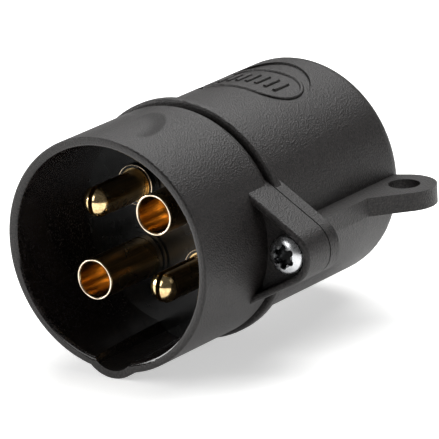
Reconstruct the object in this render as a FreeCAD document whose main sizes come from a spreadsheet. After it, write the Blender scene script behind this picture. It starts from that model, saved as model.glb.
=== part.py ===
import FreeCAD, Part
import math
import os
import re

import Sketcher

# Four-pole trailer wiring connector. A keyed round collar guards two tube contacts and two split pins.
# A rear cover with a fixing eye is screwed on behind it and ends in a screw gland for the cable.
# Millimetres. The origin is the centre of the collar's front rim, +Y runs back along the connector's
# axis towards the cable, +Z is up, the collar's key is at the bottom and the fixing eye is at +X.

SIZES = (
    ("collar_radius", 20.5, "outside of the collar"),
    ("collar_bore", 18.8, "inside of the collar at its mouth"),
    ("bore_at_seat", 18.3, "inside of the collar at the insert's seat, after the mould's draft"),
    ("rim_round", 0.7, "rounding on the rim's inner edge"),
    ("rim_edge", 0.35, "rounding on the rim's outer edge"),
    ("land_start", 20.8, "where a fine groove divides the collar from a narrow land before the seam"),
    ("land_groove", 0.25, "width of that groove"),
    ("groove_radius", 20.0, "floor of that groove"),
    ("land_radius", 20.35, "outside of the land"),
    ("rebate_start", 21.3, "front of the shadow groove at the seam"),
    ("rebate_radius", 19.9, "floor of the shadow groove"),
    ("seat_depth", 19.2, "face of the insert"),
    ("seat_radius", 19.1, "counterbore that takes the insert's flange"),
    ("seam_depth", 22.15, "rear face of the front shell"),
    ("key_half", 4.45, "half width of the key's outside"),
    ("key_foot", 19.9, "distance below the axis where the key's outside begins"),
    ("key_curve", 6.6, "radius of the key's outside"),
    ("keyway_half", 4.0, "half width of the key's groove"),
    ("keyway_foot", 18.2, "distance below the axis where the groove's arc begins"),
    ("keyway_curve", 4.86, "radius of the groove"),
    ("keyway_play", 0.1, "play between the groove and the insert's tab"),
    ("key_overlap", 0.3, "how far the key's outside runs into the collar's wall"),
    ("groove_overlap", 1.3, "how far the groove's straight sides run up into the bore"),
    ("screw_across", 25.2, "cover screws, from the axis"),
    ("screw_height", -1.1, "cover screws, above the axis"),
    ("ear_tip", 5.0, "radius of an ear's tip"),
    ("ear_top_slope", 31.8, "slope of an ear's upper edge in degrees"),
    ("ear_foot_slope", 27.5, "slope of an ear's lower edge in degrees"),
    ("ear_root", 19.5, "radius within the shell's wall where an ear's outline ends"),
    ("ear_front", 15.8, "front of an ear"),
    ("ear_floor", 17.9, "floor of the pocket for the screw's head"),
    ("ear_wall", 1.3, "wall round that pocket"),
    ("ear_round", 0.5, "rounding along an ear's front edge"),
    ("cover_front", 22.4, "front face of the rear cover"),
    ("cover_flange", 21.2, "outside of the cover's flange at the seam"),
    ("cover_flange_end", 24.0, "rear of that flange"),
    ("flange_round", 0.5, "rounding of the flange's front edge"),
    ("cover_radius", 19.7, "outside of the rear cover"),
    ("cover_bore", 17.5, "inside of the rear cover"),
    ("cover_end", 60.4, "rear face of the rear cover"),
    ("cover_round", 3.0, "rounding of its rear edge"),
    ("cover_wall", 2.5, "its end wall"),
    ("cover_ear", 2.5, "thickness of the cover's ears"),
    ("badge_depth", 44.5, "centre of the round badge field along the axis"),
    ("badge_radius", 9.9, "radius of the badge field"),
    ("badge_sink", 0.4, "depth of the badge field"),
    ("lug_top", 1.1, "upper face of the fixing lug"),
    ("lug_thick", 3.3, "thickness of the lug"),
    ("lug_edge", 23.4, "outer edge of the lug's strip"),
    ("lug_root", 1.4, "how far the lug runs into the cover's wall"),
    ("eye_corner", 1.6, "how much further forward the eye's edge meets the cover"),
    ("flare_angle", 49.3, "angle of the edge that widens the strip into the eye, in degrees"),
    ("eye_across", 24.4, "centre of the eye from the axis"),
    ("eye_depth", 53.6, "centre of the eye along the axis"),
    ("eye_hole", 2.8, "radius of the eye's hole"),
    ("eye_rim", 5.7, "outside radius of the eye"),
    ("contact_offset", 6.6, "contacts, across and up from the axis"),
    ("contact_tip", 5.0, "tips of the contacts"),
    ("tube_radius", 3.6, "outside of a tube contact, and of every contact inside the insert"),
    ("tube_bore", 3.2, "inside of a tube contact"),
    ("tube_floor", 18.4, "bottom of a tube contact's bore"),
    ("mouth_bevel", 0.3, "height of the bevels at a tube's mouth"),
    ("pin_radius", 2.65, "split pin"),
    ("nose_depth", 1.7, "height of a pin's domed nose"),
    ("nose_curve", 2.92, "curve of that nose"),
    ("pin_foot", 3.0, "thicker foot of a pin, which stands in the boss"),
    ("pin_shoulder", 20.0, "front of a pin's shoulder, which stops it in the insert"),
    ("pin_slot", 0.9, "width of the slot that splits a pin"),
    ("slot_end", 16.0, "bottom of that slot"),
    ("contact_play", 0.05, "play of a contact in the insert and the retainer"),
    ("ring_radius", 5.2, "lower step of the ring round a tube contact"),
    ("ring_inner", 4.5, "upper step of that ring"),
    ("ring_rise", 0.35, "height of each step"),
    ("boss_radius", 4.3, "ring round a split pin"),
    ("boss_top", 3.6, "narrow boss on that ring"),
    ("boss_rise", 1.4, "height of the boss above the insert's face"),
    ("insert_radius", 19.0, "flange of the insert"),
    ("insert_flange", 21.9, "rear of the insert's flange"),
    ("boss_barrel", 15.0, "body of the insert, and the retainer"),
    ("insert_end", 30.4, "rear face of the insert"),
    ("contact_collar", 4.3, "collar that locks a contact in the insert"),
    ("collar_start", 28.4, "front of that collar"),
    ("retainer_end", 32.9, "rear face of the retainer"),
    ("barrel_radius", 3.2, "wire barrel of a contact"),
    ("barrel_end", 44.0, "end of the wire barrel"),
    ("wire_bore", 2.1, "bore for the wire"),
    ("wire_floor", 34.4, "bottom of that bore"),
    ("terminal_depth", 40.0, "terminal screws along the axis"),
    ("thread_radius", 1.5, "every screw's thread"),
    ("thread_play", 0.05, "running play of a screw in its hole"),
    ("terminal_reach", 9.9, "tip of a terminal screw from the axis"),
    ("terminal_shank", 2.9, "length of its thread"),
    ("terminal_head", 2.3, "radius of its head"),
    ("terminal_height", 1.7, "height of its head"),
    ("terminal_slot", 0.7, "width of its slot"),
    ("terminal_cut", 0.8, "depth of its slot"),
    ("screw_head", 3.3, "radius of a cover screw's head"),
    ("screw_rise", 2.4, "height of a cover screw's head"),
    ("head_flat", 1.9, "radius of the flat on top of the head"),
    ("head_curve", 2.3, "curve of the head's shoulder"),
    ("head_edge", 1.5, "height of the head's upright edge"),
    ("screw_end", 25.4, "tip of a cover screw"),
    ("screw_point", 0.5, "bevel at a cover screw's tip"),
    ("drive_radius", 1.5, "core of the six-lobed drive"),
    ("lobe_radius", 0.6, "one lobe of the drive"),
    ("lobe_offset", 0.1, "centre of a lobe outside the core's edge"),
    ("drive_depth", 1.3, "depth of the drive"),
    ("bush_radius", 2.38, "threaded bush in a cover ear"),
    ("bush_hole", 2.4, "hole for that bush"),
    ("retainer_head", 2.8, "radius of the retainer screw's head"),
    ("retainer_rise", 1.9, "height of its head"),
    ("retainer_tip", 24.0, "tip of the retainer screw"),
    ("retainer_room", 0.5, "length of its hole beyond that tip"),
    ("retainer_slot", 0.8, "width of its slot"),
    ("gasket_inner", 17.6, "inside of the seam gasket"),
    ("gasket_outer", 18.9, "outside of the seam gasket"),
    ("stub_radius", 7.6, "threaded stub on the rear cover"),
    ("stub_bore", 5.6, "inside of the stub"),
    ("stub_end", 66.0, "end of the stub"),
    ("stub_shelf", 59.0, "shelf that the grommet rests on"),
    ("entry_radius", 4.4, "hole in the cover's end wall"),
    ("grommet_radius", 5.5, "outside of the cable grommet"),
    ("grommet_bore", 3.6, "inside of the grommet"),
    ("grommet_end", 65.6, "rear face of the grommet"),
    ("washer_bore", 4.0, "inside of the thrust washer"),
    ("washer_end", 66.6, "rear face of the thrust washer"),
    ("nut_start", 61.0, "front of the gland nut"),
    ("nut_end", 69.2, "rear of the gland nut"),
    ("nut_radius", 9.4, "outside of the gland nut"),
    ("nut_mouth", 4.2, "cable hole in the gland nut"),
    ("nut_flute", 0.9, "radius of a grip flute"),
    ("flute_offset", 0.4, "centre of a flute outside the nut's edge"),
    ("nut_bevel", 0.8, "bevel on the gland nut's rear edge"),
    ("overshoot", 1.0, "how far a cut starts outside the material"),
)

# name, across, up, the angle from +Z of the way its terminal screw faces
CONTACTS = (
    ("tube_upper", 1, 1, 45),
    ("tube_lower", -1, -1, 225),
    ("pin_upper", -1, 1, 315),
    ("pin_lower", 1, -1, 135),
)
SIDES = (("right", 1), ("left", -1))
DRIVE_LOBES = 6
NUT_FLUTES = 16

doc = FreeCAD.newDocument("TrailerConnector")


# ---- the sheet, and expressions that read it ----

def fill_sheet():
    """Write the driving sizes into the sheet: a name, a number and what it is."""
    cells = doc.addObject("Spreadsheet::Sheet", "Sizes")
    for row, (alias, number, meaning) in enumerate(SIZES, start=1):
        cells.set(f"A{row}", alias)
        cells.set(f"B{row}", str(number))
        cells.set(f"C{row}", meaning)
        cells.setAlias(f"B{row}", alias)
    doc.recompute()
    return cells


sheet = fill_sheet()
ALIASES = re.compile(r"\b(" + "|".join(alias for alias, _, _ in SIZES) + r")\b")


def in_sheet(text):
    """Turn an expression in plain aliases into one that reads them from the sheet."""
    return ALIASES.sub(r"Sizes.\1", text)


def size_of(text):
    """The number that an expression has now."""
    return float(doc.getObject("Sizes").evalExpression(in_sheet(text)))


# ---- sketches ----

def new_body(name):
    """Start a sub-part. Its label is its node's name."""
    body = doc.addObject("PartDesign::Body", name)
    body.Label = name
    return body


def add_sketch(body, role, offset=None):
    """Start a sketch on one of the body's own origin planes, moved along the plane's normal."""
    plane = next(item for item in body.Origin.OriginFeatures if item.Role == role)
    sketch = body.newObject("Sketcher::SketchObject", body.Name + "_sketch")
    sketch.AttachmentSupport = (plane, [""])
    sketch.MapMode = "FlatFace"
    if offset is not None:
        sketch.setExpression("AttachmentOffset.Base.z", in_sheet(offset))
    return sketch


def hold_point(sketch, geometry, end, across, up):
    """Tie one point of a sketch to two expressions, measured from the sketch's origin."""
    for kind, text, axis in (("DistanceX", across, -2), ("DistanceY", up, -1)):
        distance = size_of(text)
        if abs(distance) < 1e-9:
            sketch.addConstraint(Sketcher.Constraint("PointOnObject", geometry, end, axis))
        else:
            tie = Sketcher.Constraint(kind, -1, 1, geometry, end, distance)
            index = sketch.addConstraint(tie)
            sketch.setExpression(f"Constraints[{index}]", in_sheet(text))


def arc_between(start, end, radius, turn):
    """The short arc from start to end. turn is 1 for anticlockwise and -1 for clockwise."""
    chord = end - start
    rise = math.sqrt(max(radius ** 2 - (chord.Length / 2) ** 2, 0))
    left = FreeCAD.Vector(-chord.y, chord.x, 0).normalize()
    centre = (start + end) * 0.5 + left * rise * turn
    first, last = (start, end) if turn > 0 else (end, start)
    angles = [math.atan2(point.y - centre.y, point.x - centre.x) for point in (first, last)]
    return Part.ArcOfCircle(Part.Circle(centre, FreeCAD.Vector(0, 0, 1), radius), *angles)


def add_outline(sketch, corners):
    """Draw a closed outline through corners, each held by its own pair of expressions.

    A corner (across, up) is reached by a straight line. A corner (across, up, radius, turn) is
    reached by an arc of that radius.
    """
    places = [FreeCAD.Vector(size_of(corner[0]), size_of(corner[1]), 0) for corner in corners]
    ends = []
    for number, corner in enumerate(corners):
        start, end = places[number - 1], places[number]
        if len(corner) == 2:
            index = sketch.addGeometry(Part.LineSegment(start, end), False)
            ends.append((index, 1, 2))
        else:
            radius, turn = corner[2:]
            index = sketch.addGeometry(arc_between(start, end, size_of(radius), turn), False)
            ends.append((index, 1, 2) if turn > 0 else (index, 2, 1))
            tie = sketch.addConstraint(Sketcher.Constraint("Radius", index, size_of(radius)))
            sketch.setExpression(f"Constraints[{tie}]", in_sheet(radius))
    for number, corner in enumerate(corners):
        index, _, end = ends[number]
        following, start, _ = ends[(number + 1) % len(corners)]
        sketch.addConstraint(Sketcher.Constraint("Coincident", index, end, following, start))
        hold_point(sketch, index, end, corner[0], corner[1])


def add_circle(sketch, across, up, radius):
    """Draw a circle held by expressions."""
    centre = FreeCAD.Vector(size_of(across), size_of(up), 0)
    circle = Part.Circle(centre, FreeCAD.Vector(0, 0, 1), size_of(radius))
    index = sketch.addGeometry(circle, False)
    hold_point(sketch, index, 3, across, up)
    tie = sketch.addConstraint(Sketcher.Constraint("Radius", index, size_of(radius)))
    sketch.setExpression(f"Constraints[{tie}]", in_sheet(radius))


# ---- features ----

def volume_now(body):
    """The body's volume so far."""
    doc.recompute()
    return 0.0 if body.Shape.isNull() else body.Shape.Volume


def add_feature(body, kind, sketch, length=None, flip=False):
    """Pad, pocket or revolve a sketch, and make sure that the volume changed as it should.

    A pad or pocket without a length goes right through.
    """
    before = volume_now(body)
    feature = body.newObject("PartDesign::" + kind, f"{body.Name}_{kind.lower()}")
    feature.Profile = sketch
    if kind == "Revolution":
        feature.ReferenceAxis = (sketch, ["V_Axis"])
        feature.Angle = 360
    elif length is None:
        feature.Type = "ThroughAll"
    else:
        feature.setExpression("Length", in_sheet(length))
    feature.Reversed = flip
    after = volume_now(body)
    adds = kind in ("Pad", "Revolution")
    if (after - before) * (1 if adds else -1) < 1e-3:
        raise RuntimeError(f"{feature.Name} changed nothing")
    return feature


def turn_profile(body, corners):
    """Revolve an outline of (radius, depth) corners round the connector's axis."""
    sketch = add_sketch(body, "XY_Plane")
    add_outline(sketch, corners)
    return add_feature(body, "Revolution", sketch)


def polar_pattern(body, feature, sketch, count):
    """Repeat a feature round the normal of its sketch."""
    pattern = body.newObject("PartDesign::PolarPattern", body.Name + "_pattern")
    pattern.Originals = [feature]
    pattern.Axis = (sketch, ["N_Axis"])
    pattern.Angle = 360
    pattern.Occurrences = count
    body.Tip = pattern
    doc.recompute()
    return pattern


def round_edges(body, chosen, radius):
    """Fillet the edges of the body for which chosen(edge) is true."""
    base = body.Tip
    names = [f"Edge{i}" for i, edge in enumerate(base.Shape.Edges, start=1) if chosen(edge)]
    if not names:
        raise RuntimeError(f"{body.Name} has no such edge")
    feature = body.newObject("PartDesign::Fillet", f"{body.Name}_fillet")
    feature.Base = (base, names)
    feature.setExpression("Radius", in_sheet(radius))
    doc.recompute()
    return feature


def lies_at_depth(edge, depth):
    """True where a whole edge lies in the plane across the axis at this depth."""
    box = edge.BoundBox
    return abs(box.YMin - depth) < 1e-4 and abs(box.YMax - depth) < 1e-4


def reach(edge):
    """The greatest distance of an edge's ends and middle from the connector's axis."""
    points = [vertex.Point for vertex in edge.Vertexes]
    points.append(edge.valueAt((edge.FirstParameter + edge.LastParameter) / 2))
    return max(math.hypot(point.x, point.z) for point in points)


# ---- shapes that several sub-parts share ----

def draw_ear(sketch, side, tip):
    """An ear seen along the axis: a round tip, and two straight edges that run into the wall.

    Each edge is a line at a distance from the axis. It ends where it meets the root's circle.
    """
    def edge_ends(slope, sign):
        sine, cosine = f"sin({slope} * 1deg)", f"cos({slope} * 1deg)"
        distance = f"(({tip}) + screw_across * {sine} + {sign} * screw_height * {cosine})"
        along = f"sqrt(ear_root ^ 2 - {distance} ^ 2)"
        root = (f"{side} * ({distance} * {sine} + {along} * {cosine})",
                f"{sign} * ({distance} * {cosine} - {along} * {sine})")
        touch = (f"{side} * (screw_across + ({tip}) * {sine})",
                 f"screw_height + {sign} * ({tip}) * {cosine}")
        return root, touch

    top_root, top_touch = edge_ends("ear_top_slope", 1)
    foot_root, foot_touch = edge_ends("ear_foot_slope", -1)
    add_outline(sketch, (
        top_root + ("ear_root", side),
        top_touch,
        (f"{side} * (screw_across + ({tip}))", "screw_height", tip, -side),
        foot_touch + (tip, -side),
        foot_root,
    ))


def draw_key(sketch, half, foot, curve, top):
    """The key or its groove seen along the axis: an arc below, closed by straight lines at top."""
    add_outline(sketch, (
        (f"-({half})", f"-({top})"),
        (f"-({half})", f"-({foot})"),
        (half, f"-({foot})", curve, 1),
        (half, f"-({top})"),
    ))


def place_contact(body, across, up, angle):
    """Put a body that was made on the axis at one of the four contact places, turned about Y."""
    turn = FreeCAD.Rotation(FreeCAD.Vector(0, 1, 0), angle)
    body.Placement = FreeCAD.Placement(FreeCAD.Vector(0, 0, 0), turn)
    body.setExpression("Placement.Base.x", in_sheet(f"{across} * contact_offset"))
    body.setExpression("Placement.Base.z", in_sheet(f"{up} * contact_offset"))


# ---- front shell ----

COLLAR = (
    ("collar_bore", "rim_round"),
    ("collar_bore + rim_round", "0", "rim_round", 1),
    ("collar_radius - rim_edge", "0"),
    ("collar_radius", "rim_edge", "rim_edge", 1),
    ("collar_radius", "land_start"),
    ("groove_radius", "land_start"),
    ("groove_radius", "land_start + land_groove"),
    ("land_radius", "land_start + land_groove"),
    ("land_radius", "rebate_start"),
    ("rebate_radius", "rebate_start"),
    ("rebate_radius", "seam_depth"),
    ("seat_radius", "seam_depth"),
    ("seat_radius", "seat_depth"),
    ("bore_at_seat", "seat_depth"),
)


def make_front_shell():
    """The moulded collar: a keyed ring with a shadow groove at the seam and an ear on each side."""
    body = new_body("front_shell")
    turn_profile(body, COLLAR)

    # each ear is a pocket with a thin wall, and the collar's wall closes its inner side
    for _, side in SIDES:
        ear = add_sketch(body, "XZ_Plane", "-seam_depth")
        draw_ear(ear, side, "ear_tip")
        add_feature(body, "Pad", ear, "seam_depth - ear_front")
        pocket = add_sketch(body, "XZ_Plane", "-(ear_front - overshoot)")
        draw_ear(pocket, side, "ear_tip - ear_wall")
        add_feature(body, "Pocket", pocket, "ear_floor - (ear_front - overshoot)")
    turn_profile(body, COLLAR)

    front = size_of("ear_front")
    outside = size_of("collar_radius + ear_wall / 2")
    round_edges(body, lambda edge: lies_at_depth(edge, front) and reach(edge) > outside, "ear_round")
    for _, side in SIDES:
        hole = add_sketch(body, "XZ_Plane", "-ear_front")
        add_circle(hole, f"{side} * screw_across", "screw_height", "thread_radius + 2 * thread_play")
        add_feature(body, "Pocket", hole)

    # the key stands proud below the collar as far as the seam, and its groove runs right through
    key = add_sketch(body, "XZ_Plane")
    draw_key(key, "key_half", "key_foot", "key_curve", "key_foot - key_overlap")
    add_feature(body, "Pad", key, "land_start", flip=True)
    groove = add_sketch(body, "XZ_Plane")
    draw_key(groove, "keyway_half", "keyway_foot", "keyway_curve", "bore_at_seat - groove_overlap")
    add_feature(body, "Pocket", groove)
    return body


# ---- rear cover ----

def make_cover_moulding():
    """The rear cover with its flange, two ears, fixing lug and threaded gland stub."""
    body = new_body("cover_moulding")
    turn_profile(body, (
        ("cover_bore", "cover_front"),
        ("cover_flange - flange_round", "cover_front"),
        ("cover_flange", "cover_front + flange_round", "flange_round", 1),
        ("cover_flange", "cover_flange_end"),
        ("cover_radius", "cover_flange_end"),
        ("cover_radius", "cover_end - cover_round"),
        ("cover_radius - cover_round", "cover_end", "cover_round", 1),
        ("stub_radius", "cover_end"),
        ("stub_radius", "stub_end"),
        ("stub_bore", "stub_end"),
        ("stub_bore", "stub_shelf"),
        ("entry_radius", "stub_shelf"),
        ("entry_radius", "cover_end - cover_wall"),
        ("cover_bore", "cover_end - cover_wall"),
    ))

    for _, side in SIDES:
        ear = add_sketch(body, "XZ_Plane", "-(cover_front + cover_ear)")
        draw_ear(ear, side, "ear_tip")
        add_feature(body, "Pad", ear, "cover_ear")

    # the lug is a flat strip beside the cover, with a slanted edge that widens it into an eye
    slant, fall = "sin(flare_angle * 1deg)", "cos(flare_angle * 1deg)"
    lug = add_sketch(body, "XY_Plane", "lug_top - lug_thick")
    add_outline(lug, (
        ("cover_radius - lug_root", "cover_front + cover_ear - 0.5"),
        ("lug_edge", "cover_front + cover_ear - 0.5"),
        ("lug_edge", f"eye_depth + ((lug_edge - eye_across) * {slant} - eye_rim) / {fall}"),
        (f"eye_across + eye_rim * {slant}", f"eye_depth - eye_rim * {fall}"),
        ("eye_across", "eye_depth + eye_rim", "eye_rim", 1),
        ("eye_across - eye_rim * sin(30deg)", "eye_depth + eye_rim * cos(30deg)", "eye_rim", 1),
        ("cover_radius - lug_root", "eye_depth + eye_rim * cos(30deg) - eye_corner"),
    ))
    add_feature(body, "Pad", lug, "lug_thick")
    eye = add_sketch(body, "XY_Plane", "lug_top")
    add_circle(eye, "eye_across", "eye_depth", "eye_hole")
    add_feature(body, "Pocket", eye, "lug_thick")

    for _, side in SIDES:
        hole = add_sketch(body, "XZ_Plane", "-cover_front")
        add_circle(hole, f"{side} * screw_across", "screw_height", "bush_hole")
        add_feature(body, "Pocket", hole, "cover_ear")
    return body


def make_badge_field():
    """The round, shallow space that is sunk into the cover's top: a disc with the cover's curve."""
    disc = doc.addObject("Part::Cylinder", "badge_disc")
    disc.setExpression("Radius", in_sheet("badge_radius"))
    disc.setExpression("Height", in_sheet("2 * cover_radius"))
    disc.setExpression("Placement.Base.y", in_sheet("badge_depth"))
    skin = new_body("badge_skin")
    turn_profile(skin, (
        ("cover_radius - badge_sink", "badge_depth - 2 * badge_radius"),
        ("cover_radius + overshoot", "badge_depth - 2 * badge_radius"),
        ("cover_radius + overshoot", "badge_depth + 2 * badge_radius"),
        ("cover_radius - badge_sink", "badge_depth + 2 * badge_radius"),
    ))
    field = doc.addObject("Part::Common", "badge_field")
    field.Base = disc
    field.Tool = skin
    return field


def make_rear_cover():
    """The moulding with the badge field cut out of its top."""
    cover = doc.addObject("Part::Cut", "rear_cover")
    cover.Label = "rear_cover"
    cover.Base = make_cover_moulding()
    cover.Tool = make_badge_field()
    doc.recompute()
    return cover


# ---- insert, retainer and gasket ----

def make_contact_insert():
    """The insulating insert: a flange that seats in the shell, and a barrel that holds the contacts."""
    body = new_body("contact_insert")
    turn_profile(body, (
        ("0", "seat_depth"),
        ("insert_radius", "seat_depth"),
        ("insert_radius", "insert_flange"),
        ("boss_barrel", "insert_flange"),
        ("boss_barrel", "insert_end"),
        ("0", "insert_end"),
    ))

    # a tab on the flange fits the shell's groove, so that the insert can only go in one way
    tab = add_sketch(body, "XZ_Plane", "-insert_flange")
    draw_key(tab, "keyway_half - keyway_play", "keyway_foot", "keyway_curve - keyway_play",
             "bore_at_seat - groove_overlap")
    add_feature(body, "Pad", tab, "insert_flange - seat_depth")

    steps = {"tube": ("ring_radius", "ring_inner"), "pin": ("boss_radius",)}
    for name, across, up, _ in CONTACTS:
        place = (f"{across} * contact_offset", f"{up} * contact_offset")
        for level, radius in enumerate(steps[name.split("_")[0]], start=1):
            ring = add_sketch(body, "XZ_Plane", "-seat_depth")
            add_circle(ring, *place, radius)
            add_feature(body, "Pad", ring, f"{level} * ring_rise")
        if name.startswith("pin"):
            boss = add_sketch(body, "XZ_Plane", "-seat_depth")
            add_circle(boss, *place, "boss_top")
            add_feature(body, "Pad", boss, "boss_rise")
    for name, across, up, _ in CONTACTS:
        place = (f"{across} * contact_offset", f"{up} * contact_offset")
        front_radius = "pin_foot" if name.startswith("pin") else "tube_radius"
        bore = add_sketch(body, "XZ_Plane", "-(seat_depth - 2 * overshoot)")
        add_circle(bore, *place, f"{front_radius} + contact_play")
        add_feature(body, "Pocket", bore)
        if name.startswith("pin"):
            step = add_sketch(body, "XZ_Plane", "-insert_end")
            add_circle(step, *place, "tube_radius + contact_play")
            add_feature(body, "Pocket", step, "insert_end - pin_shoulder", flip=True)
        seat = add_sketch(body, "XZ_Plane", "-insert_end")
        add_circle(seat, *place, "contact_collar + 2 * contact_play")
        add_feature(body, "Pocket", seat, "insert_end - collar_start", flip=True)
    thread = add_sketch(body, "XZ_Plane", "-insert_end")
    add_circle(thread, "0", "0", "thread_radius + thread_play")
    add_feature(body, "Pocket", thread, "insert_end - retainer_tip + retainer_room", flip=True)
    return body


def make_insert_retainer():
    """The plate screwed behind the insert, which keeps the contacts' collars in their seats."""
    body = new_body("insert_retainer")
    plate = add_sketch(body, "XZ_Plane", "-retainer_end")
    add_circle(plate, "0", "0", "boss_barrel")
    add_circle(plate, "0", "0", "thread_radius + 2 * thread_play")
    for _, across, up, _ in CONTACTS:
        add_circle(plate, f"{across} * contact_offset", f"{up} * contact_offset",
                   "barrel_radius + contact_play")
    add_feature(body, "Pad", plate, "retainer_end - insert_end")
    return body


def make_shell_gasket():
    """The flat rubber ring that the cover presses against the insert's flange."""
    body = new_body("shell_gasket")
    turn_profile(body, (
        ("gasket_inner", "insert_flange"),
        ("gasket_outer", "insert_flange"),
        ("gasket_outer", "cover_front"),
        ("gasket_inner", "cover_front"),
    ))
    return body


# ---- contacts and their terminal screws ----

def make_contact(name, across, up, angle):
    """One turned contact: a tube or a split pin in front, a collar, and a wire barrel behind."""
    kind, level = name.split("_")
    body = new_body(f"{kind}_contact_{level}")
    if kind == "tube":
        front = (
            ("0", "tube_floor"),
            ("tube_bore", "tube_floor"),
            ("tube_bore", "contact_tip + mouth_bevel"),
            ("(tube_bore + tube_radius) / 2", "contact_tip"),
            ("tube_radius", "contact_tip + mouth_bevel"),
        )
    else:
        front = (
            ("0", "contact_tip"),
            ("pin_radius", "contact_tip + nose_depth", "nose_curve", 1),
            ("pin_radius", "seat_depth - boss_rise"),
            ("pin_foot", "seat_depth - boss_rise"),
            ("pin_foot", "pin_shoulder"),
            ("tube_radius", "pin_shoulder"),
        )
    turn_profile(body, front + (
        ("tube_radius", "collar_start"),
        ("contact_collar", "collar_start"),
        ("contact_collar", "insert_end"),
        ("barrel_radius", "insert_end"),
        ("barrel_radius", "barrel_end"),
        ("wire_bore", "barrel_end"),
        ("wire_bore", "wire_floor"),
        ("0", "wire_floor"),
    ))

    # the terminal screw's hole goes through the barrel's wall on its outer side
    hole = add_sketch(body, "XY_Plane")
    add_circle(hole, "0", "terminal_depth", "thread_radius + thread_play")
    add_feature(body, "Pocket", hole, flip=True)
    if kind == "pin":
        slot = add_sketch(body, "XZ_Plane", "-(contact_tip - overshoot)")
        slot.AttachmentOffset = FreeCAD.Placement(
            FreeCAD.Vector(0, 0, 0), FreeCAD.Rotation(FreeCAD.Vector(0, 0, 1), angle))
        slot.setExpression("AttachmentOffset.Base.z", in_sheet("-(contact_tip - overshoot)"))
        half, far = "pin_slot / 2", "2 * pin_radius"
        add_outline(slot, (
            (f"-({half})", f"-({far})"),
            (half, f"-({far})"),
            (half, far),
            (f"-({half})", far),
        ))
        add_feature(body, "Pocket", slot, "slot_end - (contact_tip - overshoot)")
    place_contact(body, across, up, angle)
    return body


def make_terminal_screw(name, angle):
    """A slotted cheese-head screw that clamps the wire in a contact's barrel."""
    body = new_body(f"terminal_screw_{name}")
    top = "terminal_shank + terminal_height"
    profile = add_sketch(body, "XZ_Plane")
    add_outline(profile, (
        ("0", "0"),
        ("thread_radius", "0"),
        ("thread_radius", "terminal_shank"),
        ("terminal_head", "terminal_shank"),
        ("terminal_head", top),
        ("0", top),
    ))
    add_feature(body, "Revolution", profile)
    slot = add_sketch(body, "XZ_Plane")
    add_outline(slot, (
        ("-terminal_slot / 2", f"{top} - terminal_cut"),
        ("terminal_slot / 2", f"{top} - terminal_cut"),
        ("terminal_slot / 2", f"{top} + overshoot"),
        ("-terminal_slot / 2", f"{top} + overshoot"),
    ))
    cut = add_feature(body, "Pocket", slot)
    cut.Midplane = True
    turn = FreeCAD.Rotation(FreeCAD.Vector(0, 1, 0), angle)
    body.Placement = FreeCAD.Placement(FreeCAD.Vector(0, 0, 0), turn)
    body.setExpression("Placement.Base.x", in_sheet(f"terminal_reach * sin({angle}deg)"))
    body.setExpression("Placement.Base.y", in_sheet("terminal_depth"))
    body.setExpression("Placement.Base.z", in_sheet(f"terminal_reach * cos({angle}deg)"))
    return body


# ---- cover screws, bushes and the retainer screw ----

def make_cover_screw(name, side):
    """A pan-head screw with a six-lobed drive. It is made on the axis and moved out to its ear."""
    body = new_body(f"cover_screw_{name}")
    front = "ear_floor - screw_rise"
    turn_profile(body, (
        ("0", front),
        ("head_flat", front),
        ("screw_head", "ear_floor - head_edge", "head_curve", 1),
        ("screw_head", "ear_floor"),
        ("thread_radius", "ear_floor"),
        ("thread_radius", "screw_end - screw_point"),
        ("thread_radius - screw_point", "screw_end"),
        ("0", "screw_end"),
    ))
    core = add_sketch(body, "XZ_Plane", f"-({front})")
    add_circle(core, "0", "0", "drive_radius")
    add_feature(body, "Pocket", core, "drive_depth")
    lobe = add_sketch(body, "XZ_Plane", f"-({front})")
    add_circle(lobe, "0", "drive_radius + lobe_offset", "lobe_radius")
    cut = add_feature(body, "Pocket", lobe, "drive_depth")
    polar_pattern(body, cut, lobe, DRIVE_LOBES)
    body.setExpression("Placement.Base.x", in_sheet(f"{side} * screw_across"))
    body.setExpression("Placement.Base.z", in_sheet("screw_height"))
    return body


def make_threaded_bush(name, side):
    """A brass bush pressed into a cover ear, which the cover screw bites into."""
    body = new_body(f"threaded_bush_{name}")
    turn_profile(body, (
        ("thread_radius + thread_play", "cover_front"),
        ("bush_radius", "cover_front"),
        ("bush_radius", "cover_front + cover_ear"),
        ("thread_radius + thread_play", "cover_front + cover_ear"),
    ))
    body.setExpression("Placement.Base.x", in_sheet(f"{side} * screw_across"))
    body.setExpression("Placement.Base.z", in_sheet("screw_height"))
    return body


def make_retainer_screw():
    """The slotted screw in the middle of the retainer."""
    body = new_body("retainer_screw")
    top = "retainer_end + retainer_rise"
    turn_profile(body, (
        ("0", "retainer_tip"),
        ("thread_radius", "retainer_tip"),
        ("thread_radius", "retainer_end"),
        ("retainer_head", "retainer_end"),
        ("retainer_head", top),
        ("0", top),
    ))
    slot = add_sketch(body, "XZ_Plane", f"-({top})")
    add_outline(slot, (
        ("-retainer_slot / 2", "-retainer_head - overshoot"),
        ("retainer_slot / 2", "-retainer_head - overshoot"),
        ("retainer_slot / 2", "retainer_head + overshoot"),
        ("-retainer_slot / 2", "retainer_head + overshoot"),
    ))
    add_feature(body, "Pocket", slot, "retainer_rise / 2", flip=True)
    return body


# ---- cable gland ----

def make_cable_grommet():
    """The rubber sleeve that is squeezed round the cable."""
    body = new_body("cable_grommet")
    turn_profile(body, (
        ("grommet_bore", "stub_shelf"),
        ("grommet_radius", "stub_shelf"),
        ("grommet_radius", "grommet_end"),
        ("grommet_bore", "grommet_end"),
    ))
    return body


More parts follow.
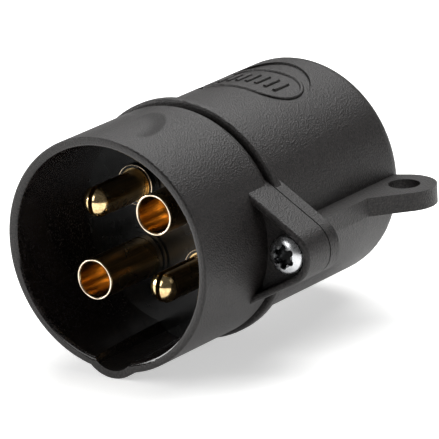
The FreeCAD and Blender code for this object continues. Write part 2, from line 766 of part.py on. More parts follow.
def make_thrust_washer():
    """The slip ring between the grommet and the turning nut."""
    body = new_body("thrust_washer")
    turn_profile(body, (
        ("washer_bore", "grommet_end"),
        ("grommet_radius", "grommet_end"),
        ("grommet_radius", "washer_end"),
        ("washer_bore", "washer_end"),
    ))
    return body


def make_gland_nut():
    """The fluted nut that screws onto the cover's stub and presses the washer on the grommet."""
    body = new_body("gland_nut")
    turn_profile(body, (
        ("stub_radius + thread_play", "nut_start"),
        ("nut_radius", "nut_start"),
        ("nut_radius", "nut_end - nut_bevel"),
        ("nut_radius - nut_bevel", "nut_end"),
        ("nut_mouth", "nut_end"),
        ("nut_mouth", "washer_end"),
        ("stub_radius + thread_play", "washer_end"),
    ))
    flute = add_sketch(body, "XZ_Plane", "-nut_start")
    add_circle(flute, "0", "nut_radius + flute_offset", "nut_flute")
    cut = add_feature(body, "Pocket", flute)
    polar_pattern(body, cut, flute, NUT_FLUTES)
    return body


# ---- build, check and write ----

def make_all():
    """Make every sub-part."""
    parts = [
        make_front_shell(), make_rear_cover(), make_contact_insert(), make_insert_retainer(),
        make_retainer_screw(), make_shell_gasket(),
    ]
    for name, across, up, angle in CONTACTS:
        parts.append(make_contact(name, across, up, angle))
        parts.append(make_terminal_screw(name, angle))
    for name, side in SIDES:
        parts.append(make_cover_screw(name, side))
        parts.append(make_threaded_bush(name, side))
    parts += [make_cable_grommet(), make_thrust_washer(), make_gland_nut()]
    return parts


def check_all(parts):
    """Stop if any object failed, or if a sub-part is not one valid solid."""
    doc.recompute()
    for item in doc.Objects:
        if "Invalid" in item.State or "Error" in item.State:
            raise RuntimeError(f"{item.Name} failed: {item.State}")
    for part in parts:
        shape = part.Shape
        if shape.isNull() or not shape.isValid() or len(shape.Solids) != 1:
            raise RuntimeError(f"{part.Label} is not one valid solid")


parts = make_all()
check_all(parts)
os.makedirs("parts", exist_ok=True)
for part in parts:
    part.Shape.exportStep(f"parts/{part.Label}.step")
    print(f"{part.Label:28s} {part.Shape.Volume:10.1f} mm3")
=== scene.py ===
import math

import bpy
from mathutils import Matrix, Vector


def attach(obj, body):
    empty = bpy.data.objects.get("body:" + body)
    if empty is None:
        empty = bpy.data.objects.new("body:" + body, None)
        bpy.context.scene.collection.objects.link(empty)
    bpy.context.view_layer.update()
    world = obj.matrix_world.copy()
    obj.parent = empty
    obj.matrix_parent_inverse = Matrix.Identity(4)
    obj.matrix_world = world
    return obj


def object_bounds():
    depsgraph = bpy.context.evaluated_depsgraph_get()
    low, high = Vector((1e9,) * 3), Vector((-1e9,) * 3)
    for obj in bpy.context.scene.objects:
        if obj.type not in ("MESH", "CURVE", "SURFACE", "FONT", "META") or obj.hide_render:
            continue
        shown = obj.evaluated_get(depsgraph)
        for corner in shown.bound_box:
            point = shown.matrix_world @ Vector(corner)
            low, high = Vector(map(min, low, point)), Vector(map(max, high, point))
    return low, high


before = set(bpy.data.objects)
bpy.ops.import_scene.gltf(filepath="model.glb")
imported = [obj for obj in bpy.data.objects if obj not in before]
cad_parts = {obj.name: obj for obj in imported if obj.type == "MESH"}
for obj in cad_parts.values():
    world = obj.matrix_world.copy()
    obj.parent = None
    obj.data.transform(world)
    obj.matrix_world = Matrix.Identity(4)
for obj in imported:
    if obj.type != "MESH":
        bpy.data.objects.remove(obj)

cad_box = [list(corner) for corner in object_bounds()]

# ---- Camera, table and lights ----
# A long lens looks down on the mating face from its right. The connector lies on a lit white
# table, under a wide soft light above and behind it and three low ones that pick out the metal.
camera_distance = 0.820
camera_shift_right = 0.01898
camera_shift_up = 0.00607
camera_back = Vector((0.565, -0.770, 0.295)).normalized()
camera_right = Vector((0.814, 0.578, -0.050))
camera_right = (camera_right - camera_right.dot(camera_back) * camera_back).normalized()
camera_up = camera_back.cross(camera_right)

camera_data = bpy.data.cameras.new("camera")
camera_data.lens = 403
camera_data.sensor_width = 36
camera_data.clip_end = 20
camera = bpy.data.objects.new("camera", camera_data)
camera_place = (camera_back * camera_distance + camera_right * camera_shift_right
                + camera_up * camera_shift_up)
camera_turn = Matrix((camera_right, camera_up, camera_back)).transposed()
camera.matrix_world = Matrix.Translation(camera_place) @ camera_turn.to_4x4()
bpy.context.scene.collection.objects.link(camera)
bpy.context.scene.camera = camera


def linear(code):
    """An sRGB hex colour as linear RGBA."""
    parts = [int(code[i:i + 2], 16) / 255 for i in (1, 3, 5)]
    return tuple(v / 12.92 if v <= 0.04045 else ((v + 0.055) / 1.055) ** 2.4 for v in parts) + (1.0,)


def add_node(tree, kind, settings=(), inputs=(), links=()):
    """Add one node with its properties, its inputs' values, and its links as (input, node, output)."""
    made = tree.nodes.new(kind)
    for name, value in dict(settings).items():
        setattr(made, name, value)
    for name, value in dict(inputs).items():
        made.inputs[name].default_value = value
    for name, source, output in links:
        tree.links.new(source.outputs[output], made.inputs[name])
    return made


def new_material(name, **inputs):
    """A node material with one Principled shader. Underscores in the inputs' names stand for spaces."""
    material = bpy.data.materials.new(name)
    material.use_nodes = True
    tree = material.node_tree
    tree.nodes.clear()
    values = {key.replace("_", " "): value for key, value in inputs.items()}
    shader = add_node(tree, "ShaderNodeBsdfPrincipled", inputs=values)
    add_node(tree, "ShaderNodeOutputMaterial", links=(("Surface", shader, "BSDF"),))
    return material, tree, shader


table_height = cad_box[0][2]
table_half = 6
table_mesh = bpy.data.meshes.new("table")
table_mesh.from_pydata(
    [(x * table_half, y * table_half, table_height) for x, y in ((-1, -1), (1, -1), (1, 1), (-1, 1))],
    [], [(0, 1, 2, 3)])
table = bpy.data.objects.new("table", table_mesh)
bpy.context.scene.collection.objects.link(table)
table_mesh.materials.append(new_material(
    "lit_white_table", Base_Color=linear("#F4F4F3"), Roughness=0.9,
    Emission_Color=linear("#FFFFFF"), Emission_Strength=0.50)[0])

world = bpy.data.worlds.new("studio")
world.use_nodes = True
world.node_tree.nodes["Background"].inputs["Color"].default_value = linear("#FFFFFF")
world.node_tree.nodes["Background"].inputs["Strength"].default_value = 0.08
bpy.context.scene.world = world
bpy.context.scene.view_settings.view_transform = "Standard"
light_target = Vector((0.0, 0.03, 0.0))


def add_light(name, place, across, down, power):
    """A rectangular soft light that faces the connector."""
    light_data = bpy.data.lights.new(name, "AREA")
    light_data.shape = "RECTANGLE"
    light_data.size = across
    light_data.size_y = down
    light_data.energy = power
    light = bpy.data.objects.new(name, light_data)
    aim = light_target - Vector(place)
    turn = aim.to_track_quat("-Z", "Y").to_matrix().to_4x4()
    light.matrix_world = Matrix.Translation(place) @ turn
    bpy.context.scene.collection.objects.link(light)


add_light("overhead_light", (-0.10, 0.32, 0.62), 0.85, 0.70, 8.5)
add_light("side_light", (0.75, 0.15, 0.25), 0.30, 0.30, 0.8)
add_light("left_light", (-0.80, -0.27, 0.20), 0.40, 0.30, 4.0)
add_light("front_light", (-0.30, -0.70, 0.38), 0.42, 0.42, 1.8)

# ---- Front shell and rear cover ----
# Both housings are injection moulded in black glass-filled nylon. Their moulds are spark eroded on
# the outside, which leaves a fine matte grain, and polished inside the collar, which is glossier.
MM = 0.001
MARK_PLACE = (2.1 * MM, 10.8 * MM, 20.4 * MM)
MARK_SIZE = (3.0 * MM, 6.6 * MM, 5.0 * MM)
MARK_TURN = math.radians(22)
PIT_SIZE = 0.30 * MM
PIT_DEPTH = 0.075 * MM
SPECK_SIZE = 0.34 * MM
SHELL_POLISHED = 19.4 * MM
COVER_POLISHED = 17.4 * MM
POLISH_FADE = 0.5 * MM


def moulded_nylon(name, polished_radius):
    """Black glass-filled nylon, grained outside and smoother within polished_radius of the axis.

    The real grain is about 0.1 mm. It is drawn three times as coarse so that it shows.
    """
    material, tree, shader = new_material(name, Specular_IOR_Level=0.36, IOR=1.53)
    place = add_node(tree, "ShaderNodeTexCoord")
    flat = add_node(tree, "ShaderNodeVectorMath", {"operation": "MULTIPLY"},
                    {1: (1, 0, 1)}, ((0, place, "Object"),))
    radius = add_node(tree, "ShaderNodeVectorMath", {"operation": "LENGTH"}, (), ((0, flat, 0),))
    outside = add_node(tree, "ShaderNodeMapRange", {"interpolation_type": "SMOOTHSTEP"},
                       {"From Min": polished_radius, "From Max": polished_radius + POLISH_FADE},
                       (("Value", radius, "Value"),))
    pits = add_node(tree, "ShaderNodeTexVoronoi", {"feature": "F1"}, {"Scale": 1 / PIT_SIZE},
                    (("Vector", place, "Object"),))
    grain = add_node(tree, "ShaderNodeTexNoise", (),
                     {"Scale": 1 / SPECK_SIZE, "Detail": 2, "Roughness": 0.7},
                     (("Vector", place, "Object"),))
    cloud = add_node(tree, "ShaderNodeTexNoise", (),
                     {"Scale": 1 / (9 * MM), "Detail": 4, "Roughness": 0.55},
                     (("Vector", place, "Object"),))
    # A long oval mark on the top where the mould was filled: its right and rear edge is coarser.
    in_mark = add_node(tree, "ShaderNodeMapping", {"vector_type": "TEXTURE"},
                       {"Location": MARK_PLACE, "Rotation": (0, 0, MARK_TURN), "Scale": MARK_SIZE},
                       (("Vector", place, "Object"),))
    from_middle = add_node(tree, "ShaderNodeVectorMath", {"operation": "LENGTH"}, (),
                           ((0, in_mark, 0),))
    mark = add_node(tree, "ShaderNodeMapRange", {"interpolation_type": "SMOOTHSTEP"},
                    {"From Min": 1.05, "From Max": 0.85}, (("Value", from_middle, "Value"),))
    from_front = add_node(tree, "ShaderNodeVectorMath", {"operation": "DISTANCE"},
                          {1: (-0.5, -0.3, 0)}, ((0, in_mark, 0),))
    crescent = add_node(tree, "ShaderNodeMapRange", {"interpolation_type": "SMOOTHSTEP"},
                        {"From Min": 0.35, "From Max": 1.15}, (("Value", from_front, "Value"),))
    scar = add_node(tree, "ShaderNodeMath", {"operation": "MULTIPLY"}, (),
                    ((0, mark, "Result"), (1, crescent, "Result")))
    blend = add_node(tree, "ShaderNodeMix", {"data_type": "RGBA"},
                     {6: linear("#13100F"), 7: linear("#1D1A19")}, (("Factor", cloud, "Fac"),))
    speck = add_node(tree, "ShaderNodeMapRange", (), {"From Min": 0.40, "From Max": 0.68,
                     "To Min": 0.2, "To Max": 2.9}, (("Value", grain, "Fac"),))
    darker = add_node(tree, "ShaderNodeMath", {"operation": "MULTIPLY_ADD"}, {1: -0.35, 2: 1.0},
                      ((0, scar, 0),))
    shade = add_node(tree, "ShaderNodeMath", {"operation": "MULTIPLY"}, (),
                     ((0, speck, "Result"), (1, darker, 0)))
    tint = add_node(tree, "ShaderNodeVectorMath", {"operation": "SCALE"}, (),
                    ((0, blend, 2), ("Scale", shade, 0)))
    tree.links.new(tint.outputs[0], shader.inputs["Base Color"])
    rough = add_node(tree, "ShaderNodeMapRange", (), {"To Min": 0.14, "To Max": 0.47},
                     (("Value", outside, "Result"),))
    rubbed = add_node(tree, "ShaderNodeMath", {"operation": "MULTIPLY_ADD"}, {1: 0.10, 2: -0.05},
                      ((0, cloud, "Fac"),))
    uneven = add_node(tree, "ShaderNodeMath", {"operation": "ADD"}, (),
                      ((0, rough, "Result"), (1, rubbed, 0)))
    dulled = add_node(tree, "ShaderNodeMath", {"operation": "MULTIPLY_ADD"}, {1: 0.25},
                      ((0, scar, 0), (2, uneven, 0)))
    tree.links.new(dulled.outputs[0], shader.inputs["Roughness"])
    depth = add_node(tree, "ShaderNodeMath", {"operation": "MULTIPLY"}, (),
                     ((0, pits, "Distance"), (1, outside, "Result")))
    lowered = add_node(tree, "ShaderNodeMath", {"operation": "MULTIPLY_ADD"}, {1: -0.5},
                       ((0, scar, 0), (2, depth, 0)))
    bump = add_node(tree, "ShaderNodeBump", (), {"Strength": 1.0, "Distance": PIT_DEPTH},
                    (("Height", lowered, 0),))
    tree.links.new(bump.outputs["Normal"], shader.inputs["Normal"])
    return material


def dress(material, *names):
    """Give CAD nodes a material."""
    for name in names:
        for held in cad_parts[name].material_slots:
            held.material = material


shell_nylon = moulded_nylon("spark_eroded_shell_nylon", SHELL_POLISHED)
cover_nylon = moulded_nylon("spark_eroded_cover_nylon", COVER_POLISHED)
dress(shell_nylon, "front_shell")
dress(cover_nylon, "rear_cover")

# ---- Badge on the rear cover ----
# A raised ring and seven plain bars, moulded with the cover in the round field that is sunk into
# its top. They stand as high as the surface round the field.
COVER_RADIUS = 19.7 * MM
FIELD_DEPTH = 0.4 * MM


def new_shape_tree(name, sizes):
    """An empty Geometry Nodes tree with its sizes as named inputs. Gives the tree and its input node."""
    tree = bpy.data.node_groups.new(name, "GeometryNodeTree")
    tree.interface.new_socket("Geometry", in_out="OUTPUT", socket_type="NodeSocketGeometry")
    for label, value in sizes.items():
        kind = "NodeSocketInt" if isinstance(value, int) else "NodeSocketFloat"
        tree.interface.new_socket(label, in_out="INPUT", socket_type=kind).default_value = value
    return tree, tree.nodes.new("NodeGroupInput")


def shape_piece(name, tree, sizes, body):
    """Run a shape tree with these sizes, keep its result as a plain mesh, and fix it to a body."""
    start = bpy.data.objects.new(name + "_start", bpy.data.meshes.new(name + "_start"))
    bpy.context.scene.collection.objects.link(start)
    modifier = start.modifiers.new("shape", "NODES")
    modifier.node_group = tree
    for item in tree.interface.items_tree:
        if item.in_out == "INPUT":
            modifier[item.identifier] = sizes[item.name]
    mesh = bpy.data.meshes.new_from_object(start.evaluated_get(bpy.context.evaluated_depsgraph_get()))
    bpy.data.objects.remove(start)
    piece = bpy.data.objects.new(name, mesh)
    bpy.context.scene.collection.objects.link(piece)
    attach(piece, body)
    return piece


badge_sizes = {
    "Radius": COVER_RADIUS - FIELD_DEPTH, "Centre": 44.5 * MM, "Ring Width": 18.4 * MM,
    "Ring Length": 10.6 * MM, "Corner": 5.2 * MM, "Stroke": 0.38 * MM, "Bars": 7,
    "Bar Spacing": 1.95 * MM, "Bar Length": 4.2 * MM}
badge_tree, badge_in = new_shape_tree("badge_shape", badge_sizes)
ring_line = add_node(badge_tree, "GeometryNodeCurvePrimitiveQuadrilateral", (), (),
                     (("Width", badge_in, "Ring Width"), ("Height", badge_in, "Ring Length")))
ring_round = add_node(badge_tree, "GeometryNodeFilletCurve", {"mode": "POLY"}, {"Count": 14},
                      (("Curve", ring_line, "Curve"), ("Radius", badge_in, "Corner")))
ring_even = add_node(badge_tree, "GeometryNodeResampleCurve", {"mode": "COUNT"}, {"Count": 120},
                     (("Curve", ring_round, "Curve"),))
bar_half = add_node(badge_tree, "ShaderNodeMath", {"operation": "MULTIPLY"}, {1: 0.5},
                    ((0, badge_in, "Bar Length"),))
bar_end = add_node(badge_tree, "ShaderNodeCombineXYZ", (), (), (("Y", bar_half, 0),))
bar_start = add_node(badge_tree, "ShaderNodeVectorMath", {"operation": "SCALE"}, {"Scale": -1.0},
                     ((0, bar_end, 0),))
bar_line = add_node(badge_tree, "GeometryNodeCurvePrimitiveLine", (), (),
                    (("Start", bar_start, 0), ("End", bar_end, 0)))
bar_even = add_node(badge_tree, "GeometryNodeResampleCurve", {"mode": "COUNT"}, {"Count": 6},
                    (("Curve", bar_line, "Curve"),))
bar_index = add_node(badge_tree, "GeometryNodeInputIndex")
bar_points = add_node(badge_tree, "GeometryNodePoints", (), (), (("Count", badge_in, "Bars"),))
half_row = add_node(badge_tree, "ShaderNodeMath", {"operation": "MULTIPLY_ADD"}, {1: 0.5, 2: -0.5},
                    ((0, badge_in, "Bars"),))
from_middle = add_node(badge_tree, "ShaderNodeMath", {"operation": "SUBTRACT"}, (),
                       ((0, bar_index, 0), (1, half_row, 0)))
bar_across = add_node(badge_tree, "ShaderNodeMath", {"operation": "MULTIPLY"}, (),
                      ((0, from_middle, 0), (1, badge_in, "Bar Spacing")))
bar_place = add_node(badge_tree, "ShaderNodeCombineXYZ", (), (), (("X", bar_across, 0),))
bar_row = add_node(badge_tree, "GeometryNodeSetPosition", (), (),
                   (("Geometry", bar_points, 0), ("Position", bar_place, 0)))
bars = add_node(badge_tree, "GeometryNodeInstanceOnPoints", (), (),
                (("Points", bar_row, 0), ("Instance", bar_even, "Curve")))
bars_real = add_node(badge_tree, "GeometryNodeRealizeInstances", (), (), ((0, bars, 0),))
lines = add_node(badge_tree, "GeometryNodeJoinGeometry")
badge_tree.links.new(ring_even.outputs[0], lines.inputs[0])
badge_tree.links.new(bars_real.outputs[0], lines.inputs[0])
stroke_round = add_node(badge_tree, "GeometryNodeCurvePrimitiveCircle", (), {"Resolution": 12},
                        (("Radius", badge_in, "Stroke"),))
strokes = add_node(badge_tree, "GeometryNodeCurveToMesh", (), {"Fill Caps": True},
                   (("Curve", lines, 0), ("Profile Curve", stroke_round, "Curve")))
flat_place = add_node(badge_tree, "GeometryNodeInputPosition")
flat_parts = add_node(badge_tree, "ShaderNodeSeparateXYZ", (), (), ((0, flat_place, 0),))
angle = add_node(badge_tree, "ShaderNodeMath", {"operation": "DIVIDE"}, (),
                 ((0, flat_parts, "X"), (1, badge_in, "Radius")))
height = add_node(badge_tree, "ShaderNodeMath", {"operation": "ADD"}, (),
                  ((0, flat_parts, "Z"), (1, badge_in, "Radius")))
sine = add_node(badge_tree, "ShaderNodeMath", {"operation": "SINE"}, (), ((0, angle, 0),))
cosine = add_node(badge_tree, "ShaderNodeMath", {"operation": "COSINE"}, (), ((0, angle, 0),))
wrapped_x = add_node(badge_tree, "ShaderNodeMath", {"operation": "MULTIPLY"}, (),
                     ((0, sine, 0), (1, height, 0)))
wrapped_z = add_node(badge_tree, "ShaderNodeMath", {"operation": "MULTIPLY"}, (),
                     ((0, cosine, 0), (1, height, 0)))
wrapped_y = add_node(badge_tree, "ShaderNodeMath", {"operation": "ADD"}, (),
                     ((0, flat_parts, "Y"), (1, badge_in, "Centre")))
wrapped = add_node(badge_tree, "ShaderNodeCombineXYZ", (), (),
                   (("X", wrapped_x, 0), ("Y", wrapped_y, 0), ("Z", wrapped_z, 0)))
curved = add_node(badge_tree, "GeometryNodeSetPosition", (), (),
                  (("Geometry", strokes, 0), ("Position", wrapped, 0)))
smooth = add_node(badge_tree, "GeometryNodeSetShadeSmooth", (), (), ((0, curved, 0),))
real = add_node(badge_tree, "GeometryNodeRealizeInstances", (), (), ((0, smooth, 0),))
coated = add_node(badge_tree, "GeometryNodeSetMaterial", (), {"Material": cover_nylon},
                  (("Geometry", real, 0),))
add_node(badge_tree, "NodeGroupOutput", (), (), (("Geometry", coated, 0),))
shape_piece("cover_badge", badge_tree, badge_sizes, "housing")

# ---- Contact insert and its retainer ----
# The insert is a black PBT moulding from a polished mould, so its face is glossy, with faint
# flow marks. The retainer is a ring of the same plastic.


def clouded_material(name, noise, tones, roughness, relief=None, **inputs):
    """A material whose colour, roughness and relief follow one noise pattern.

    The noise and the relief hold their nodes' inputs, and the tones are two hex colours.
    """
    material, tree, shader = new_material(name, **inputs)
    place = add_node(tree, "ShaderNodeTexCoord")
    cloud = add_node(tree, "ShaderNodeTexNoise", (), noise, (("Vector", place, "Object"),))
    tone = add_node(tree, "ShaderNodeMix", {"data_type": "RGBA"},
                    {6: linear(tones[0]), 7: linear(tones[1])}, (("Factor", cloud, "Fac"),))
    tree.links.new(tone.outputs[2], shader.inputs["Base Color"])
    rough = add_node(tree, "ShaderNodeMapRange", (),
                     {"To Min": roughness[0], "To Max": roughness[1]}, (("Value", cloud, "Fac"),))
    tree.links.new(rough.outputs["Result"], shader.inputs["Roughness"])
    if relief:
        bump = add_node(tree, "ShaderNodeBump", (), relief, (("Height", cloud, "Fac"),))
        tree.links.new(bump.outputs["Normal"], shader.inputs["Normal"])
    return material, tree, shader


insert_pbt = clouded_material(
    "polished_black_pbt", {"Scale": 1 / (3.5 * MM), "Detail": 3, "Roughness": 0.5, "Distortion": 1.5},
    ("#0B0B0B", "#151514"), (0.16, 0.34), {"Strength": 0.4, "Distance": 0.06 * MM}, IOR=1.57)[0]
dress(insert_pbt, "contact_insert", "insert_retainer")

# ---- Contacts and threaded bushes ----
# Tubes and split pins are turned from free-cutting brass rod and left bright. The tool leaves fine
# rings round them, and drawing the tubes leaves streaks along their bores.
CONTACT_OFFSET = 6.6 * MM
TUBE_BORE = 3.2 * MM
PIN_RADIUS = 2.65 * MM
RADIUS_MARGIN = 0.1 * MM
NOSE_START = 6.4 * MM
NOSE_END = 7.6 * MM

# The tool's rings are really 0.05 to 0.1 mm apart. They and the streaks are drawn coarser, to show.
turned_brass, tree, shader = new_material("turned_bright_brass", Metallic=1.0)
place = add_node(tree, "ShaderNodeTexCoord")
along = add_node(tree, "ShaderNodeMapping", {"vector_type": "POINT"},
                 {"Scale": (1, 0.03, 1)}, (("Vector", place, "Object"),))
streak = add_node(tree, "ShaderNodeTexNoise", (), {"Scale": 1 / (0.35 * MM), "Detail": 2},
                  (("Vector", along, "Vector"),))
round_it = add_node(tree, "ShaderNodeMapping", {"vector_type": "POINT"},
                    {"Scale": (0.04, 1, 0.04)}, (("Vector", place, "Object"),))
rings = add_node(tree, "ShaderNodeTexNoise", (), {"Scale": 1 / (0.25 * MM), "Detail": 2},
                 (("Vector", round_it, "Vector"),))
stain = add_node(tree, "ShaderNodeTexNoise", (), {"Scale": 1 / (4 * MM), "Detail": 4},
                 (("Vector", place, "Object"),))
# Distance from the nearest contact's axis: the bores and the pins' noses keep the bright brass colour.
# The outsides and the pins'
#  shanks are painted a darker brown as painted shade, for the dark collar they reflect, and are also
#  made rougher.
four_way = add_node(tree, "ShaderNodeVectorMath", {"operation": "ABSOLUTE"}, (),
                    ((0, place, "Object"),))
from_axis = add_node(tree, "ShaderNodeVectorMath", {"operation": "SUBTRACT"},
                     {1: (CONTACT_OFFSET, 0, CONTACT_OFFSET)}, ((0, four_way, 0),))
level = add_node(tree, "ShaderNodeVectorMath", {"operation": "MULTIPLY"}, {1: (1, 0, 1)},
                 ((0, from_axis, 0),))
radius = add_node(tree, "ShaderNodeVectorMath", {"operation": "LENGTH"}, (), ((0, level, 0),))
outer = add_node(tree, "ShaderNodeMath", {"operation": "GREATER_THAN"}, {1: TUBE_BORE + RADIUS_MARGIN},
                 ((0, radius, "Value"),))
slim = add_node(tree, "ShaderNodeMath", {"operation": "LESS_THAN"}, {1: PIN_RADIUS + RADIUS_MARGIN},
                ((0, radius, "Value"),))
parts = add_node(tree, "ShaderNodeSeparateXYZ", (), (), ((0, place, "Object"),))
past_nose = add_node(tree, "ShaderNodeMapRange", {"interpolation_type": "SMOOTHSTEP"},
                     {"From Min": NOSE_START, "From Max": NOSE_END}, (("Value", parts, "Y"),))
shank = add_node(tree, "ShaderNodeMath", {"operation": "MULTIPLY"}, (),
                 ((0, slim, 0), (1, past_nose, "Result")))
dulled = add_node(tree, "ShaderNodeMath", {"operation": "MAXIMUM"}, (), ((0, outer, 0), (1, shank, 0)))
bright = add_node(tree, "ShaderNodeMix", {"data_type": "RGBA"},
                  {6: linear("#FFE3AC"), 7: linear("#F6D293")}, (("Factor", stain, "Fac"),))
# Painted shade: the darker brown given to the contacts' outsides and the pins' shanks.
shaded_brass_tone = add_node(tree, "ShaderNodeMix", {"data_type": "RGBA"},
                {6: linear("#C2A473"), 7: linear("#94784F")}, (("Factor", stain, "Fac"),))
tone = add_node(tree, "ShaderNodeMix", {"data_type": "RGBA"}, (), (("Factor", dulled, 0),))
tree.links.new(bright.outputs[2], tone.inputs[6])
tree.links.new(shaded_brass_tone.outputs[2], tone.inputs[7])
streaked = add_node(tree, "ShaderNodeMapRange", (), {"From Min": 0.3, "From Max": 0.7,
                    "To Min": 0.70, "To Max": 1.1}, (("Value", streak, "Fac"),))
tint = add_node(tree, "ShaderNodeVectorMath", {"operation": "SCALE"}, (),
                ((0, tone, 2), ("Scale", streaked, "Result")))
tree.links.new(tint.outputs[0], shader.inputs["Base Color"])
polish = add_node(tree, "ShaderNodeMapRange", (), {"From Min": 0.3, "From Max": 0.7,
                  "To Min": 0.10, "To Max": 0.20}, (("Value", stain, "Fac"),))
rubbed = add_node(tree, "ShaderNodeMath", {"operation": "MULTIPLY_ADD"}, {1: 0.14},
                  ((0, dulled, 0), (2, polish, "Result")))
tree.links.new(rubbed.outputs[0], shader.inputs["Roughness"])
marks = add_node(tree, "ShaderNodeMath", {"operation": "ADD"}, (),
                 ((0, streak, "Fac"), (1, rings, "Fac")))
bump = add_node(tree, "ShaderNodeBump", (), {"Strength": 0.7, "Distance": 0.012 * MM},
                (("Height", marks, 0),))
tree.links.new(bump.outputs["Normal"], shader.inputs["Normal"])
dress(turned_brass, "tube_contact_upper", "tube_contact_lower", "pin_contact_upper",
      "pin_contact_lower", "threaded_bush_right", "threaded_bush_left")

# Each tube's mouth is rolled to a small round lip, which stops a pin from catching on it, and a
#  thin ring is let into the front edge of each pin's plastic boss. Both are polished smooth, and their
#  near-white colour, paler than the contacts' brass, is a painted highlight.
# Painted highlight: the lips and rings are drawn in a near-white brass.
painted_highlight_brass = clouded_material(
    "polished_brass_edge_painted_highlight", {"Scale": 1 / (0.8 * MM), "Detail": 2}, ("#FFF1DD", "#F6DDB8"),
    (0.12, 0.32), Metallic=1.0)[0]

# name, side across, side up, then depth, radius and thickness in mm
RINGS = (
    ("tube_lip_upper", 1, 1, 5.15, 3.4, 0.19),
    ("tube_lip_lower", -1, -1, 5.15, 3.4, 0.19),
    ("pin_ring_upper", -1, 1, 17.86, 3.50, 0.13),
    ("pin_ring_lower", 1, -1, 17.86, 3.50, 0.13),
)
lip_tree, lip_in = new_shape_tree(
    "contact_ring_shape", {"Across": 0.0, "Up": 0.0, "Front": 0.0, "Radius": 0.0, "Thickness": 0.0})
lip_line = add_node(lip_tree, "GeometryNodeCurvePrimitiveCircle", (), {"Resolution": 96},
                    (("Radius", lip_in, "Radius"),))
lip_bead = add_node(lip_tree, "GeometryNodeCurvePrimitiveCircle", (), {"Resolution": 12},
                    (("Radius", lip_in, "Thickness"),))
lip_mesh = add_node(lip_tree, "GeometryNodeCurveToMesh", (), (),
                    (("Curve", lip_line, "Curve"), ("Profile Curve", lip_bead, "Curve")))
lip_place = add_node(lip_tree, "ShaderNodeCombineXYZ", (), (),
                     (("X", lip_in, "Across"), ("Y", lip_in, "Front"), ("Z", lip_in, "Up")))
lip_there = add_node(lip_tree, "GeometryNodeTransform", (), {"Rotation": (math.pi / 2, 0, 0)},
                     (("Geometry", lip_mesh, 0), ("Translation", lip_place, 0)))
lip_smooth = add_node(lip_tree, "GeometryNodeSetShadeSmooth", (), (), ((0, lip_there, 0),))
lip_real = add_node(lip_tree, "GeometryNodeRealizeInstances", (), (), ((0, lip_smooth, 0),))
lip_coated = add_node(lip_tree, "GeometryNodeSetMaterial", (), {"Material": painted_highlight_brass},
                      (("Geometry", lip_real, 0),))
add_node(lip_tree, "NodeGroupOutput", (), (), (("Geometry", lip_coated, 0),))
for name, across, up, front, radius, thickness in RINGS:
    shape_piece(name, lip_tree, {
        "Across": across * CONTACT_OFFSET, "Up": up * CONTACT_OFFSET, "Front": front * MM,
        "Radius": radius * MM, "Thickness": thickness * MM}, "housing")

# ---- Screws ----
# Cover screws, terminal screws and the retainer screw are steel with bright zinc plate. The
#  plate is slightly mottled, and the cover screws' drive recesses are painted dark as painted shade.
SCREW_ACROSS = 25.2 * MM
SCREW_UP = -1.1 * MM
RECESS_RADIUS = 2.16 * MM
RECESS_FRONT = 15.95 * MM
RECESS_BACK = 16.95 * MM

zinc_plate, tree, shader = new_material("bright_zinc_plated_steel", Metallic=1.0)
place = add_node(tree, "ShaderNodeTexCoord")
mottle = add_node(tree, "ShaderNodeTexNoise", (), {"Scale": 1 / (1.1 * MM), "Detail": 2,
                  "Roughness": 0.6}, (("Vector", place, "Object"),))
tone = add_node(tree, "ShaderNodeMix", {"data_type": "RGBA"},
                {6: linear("#B4B6B9"), 7: linear("#E2E3E4")}, (("Factor", mottle, "Fac"),))
# Both screws are found from their distance across, whichever side they are on.
mirrored = add_node(tree, "ShaderNodeVectorMath", {"operation": "ABSOLUTE"}, (),
                    ((0, place, "Object"),))
across = add_node(tree, "ShaderNodeSeparateXYZ", (), (), ((0, mirrored, 0),))
upright = add_node(tree, "ShaderNodeSeparateXYZ", (), (), ((0, place, "Object"),))
flat = add_node(tree, "ShaderNodeCombineXYZ", (), (), (("X", across, "X"), ("Z", upright, "Z")))
from_screw = add_node(tree, "ShaderNodeVectorMath", {"operation": "DISTANCE"},
                      {1: (SCREW_ACROSS, 0, SCREW_UP)}, ((0, flat, 0),))
near = add_node(tree, "ShaderNodeMath", {"operation": "LESS_THAN"}, {1: RECESS_RADIUS},
                ((0, from_screw, "Value"),))
deep = add_node(tree, "ShaderNodeMath", {"operation": "GREATER_THAN"}, {1: RECESS_FRONT},
                ((0, upright, "Y"),))
shallow = add_node(tree, "ShaderNodeMath", {"operation": "LESS_THAN"}, {1: RECESS_BACK},
                   ((0, upright, "Y"),))
in_recess = add_node(tree, "ShaderNodeMath", {"operation": "MULTIPLY"}, (), ((0, near, 0), (1, deep, 0)))
# Painted shade: the colour is darkened by 93% inside the cover screws' drive recesses.
painted_recess_shade = add_node(tree, "ShaderNodeMath", {"operation": "MULTIPLY"}, (),
                ((0, in_recess, 0), (1, shallow, 0)))
darker = add_node(tree, "ShaderNodeMath", {"operation": "MULTIPLY_ADD"}, {1: -0.93, 2: 1.0},
                  ((0, painted_recess_shade, 0),))
tint = add_node(tree, "ShaderNodeVectorMath", {"operation": "SCALE"}, (),
                ((0, tone, 2), ("Scale", darker, 0)))
tree.links.new(tint.outputs[0], shader.inputs["Base Color"])
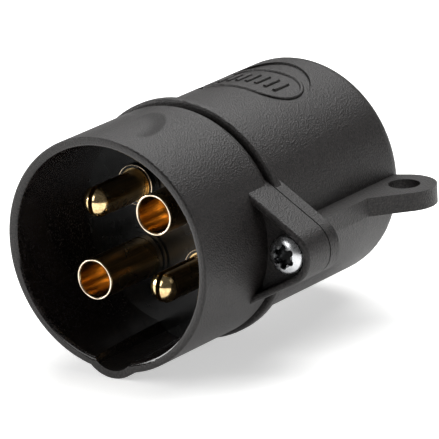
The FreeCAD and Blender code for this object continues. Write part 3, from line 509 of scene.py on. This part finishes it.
rough = add_node(tree, "ShaderNodeMapRange", (), {"To Min": 0.20, "To Max": 0.34},
                 (("Value", mottle, "Fac"),))
tree.links.new(rough.outputs["Result"], shader.inputs["Roughness"])
bump = add_node(tree, "ShaderNodeBump", (), {"Strength": 0.5, "Distance": 0.015 * MM},
                (("Height", mottle, "Fac"),))
tree.links.new(bump.outputs["Normal"], shader.inputs["Normal"])
dress(zinc_plate, "cover_screw_right", "cover_screw_left", "retainer_screw",
      "terminal_screw_tube_upper", "terminal_screw_tube_lower", "terminal_screw_pin_upper",
      "terminal_screw_pin_lower")

# ---- Gland: nut, grommet, washer and gasket ----
# The nut is black nylon with a satin mould finish. The grommet and the gasket are moulded EPDM
# rubber, and the thrust washer is natural nylon, cut from sheet.

# The nut's grain is drawn three times as coarse as it is, like the housings' grain.
gland_nylon, tree, shader = clouded_material(
    "satin_black_nylon", {"Scale": 1 / (2.5 * MM), "Detail": 4}, ("#13100F", "#1E1E20"),
    (0.30, 0.48), IOR=1.53)
place = add_node(tree, "ShaderNodeTexCoord")
grain = add_node(tree, "ShaderNodeTexNoise", (), {"Scale": 1 / (0.3 * MM), "Detail": 2},
                 (("Vector", place, "Object"),))
bump = add_node(tree, "ShaderNodeBump", (), {"Strength": 0.8, "Distance": 0.03 * MM},
                (("Height", grain, "Fac"),))
tree.links.new(bump.outputs["Normal"], shader.inputs["Normal"])
dress(gland_nylon, "gland_nut")

epdm_rubber = clouded_material(
    "moulded_epdm_rubber", {"Scale": 1 / (1.6 * MM), "Detail": 5, "Roughness": 0.65},
    ("#0E0E0E", "#262625"), (0.62, 0.88), {"Strength": 0.5, "Distance": 0.05 * MM}, IOR=1.52)[0]
dress(epdm_rubber, "cable_grommet", "shell_gasket")

natural_nylon = clouded_material(
    "natural_nylon_sheet", {"Scale": 1 / (1.2 * MM), "Detail": 3}, ("#CFCABB", "#E4E0D4"),
    (0.35, 0.55), IOR=1.53, Subsurface_Weight=0.2, Subsurface_Scale=0.5 * MM)[0]
dress(natural_nylon, "thrust_washer")
